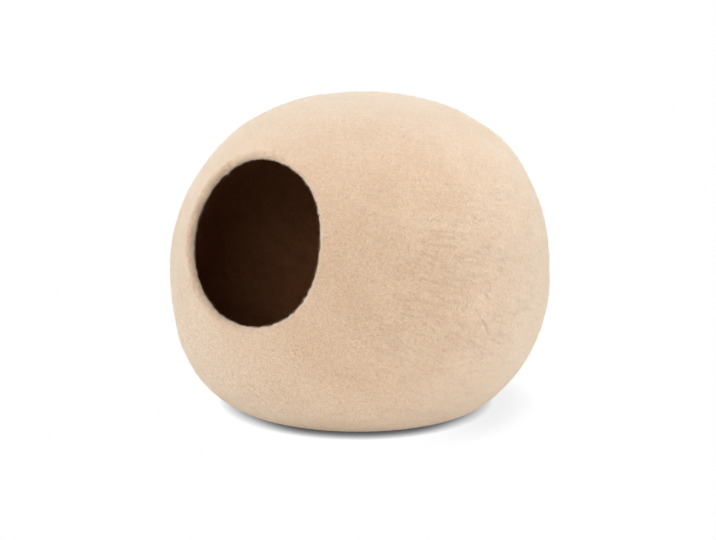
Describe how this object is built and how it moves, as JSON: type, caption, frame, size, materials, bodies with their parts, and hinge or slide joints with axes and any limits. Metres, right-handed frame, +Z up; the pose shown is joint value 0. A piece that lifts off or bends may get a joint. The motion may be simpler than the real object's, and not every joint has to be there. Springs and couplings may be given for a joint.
{
  "type": "felt cat cave",
  "caption": "Round felted wool cave for a cat, a hollow ball that sits flat, with a round mouth in its front.",
  "frame": {"origin": "on the floor, under the middle of the cave's bounding box", "axes": "+Z up; the mouth faces -Y and a little upwards; +X is on the right of someone who looks into it"},
  "size_m": [0.4404, 0.4326, 0.3647],
  "materials": {
    "felt": "matt wet-felted wool, undyed beige outside and brown inside"
  },
  "bodies": {
    "root": {"felt_shell": "felt"}
  },
  "joints": []
}
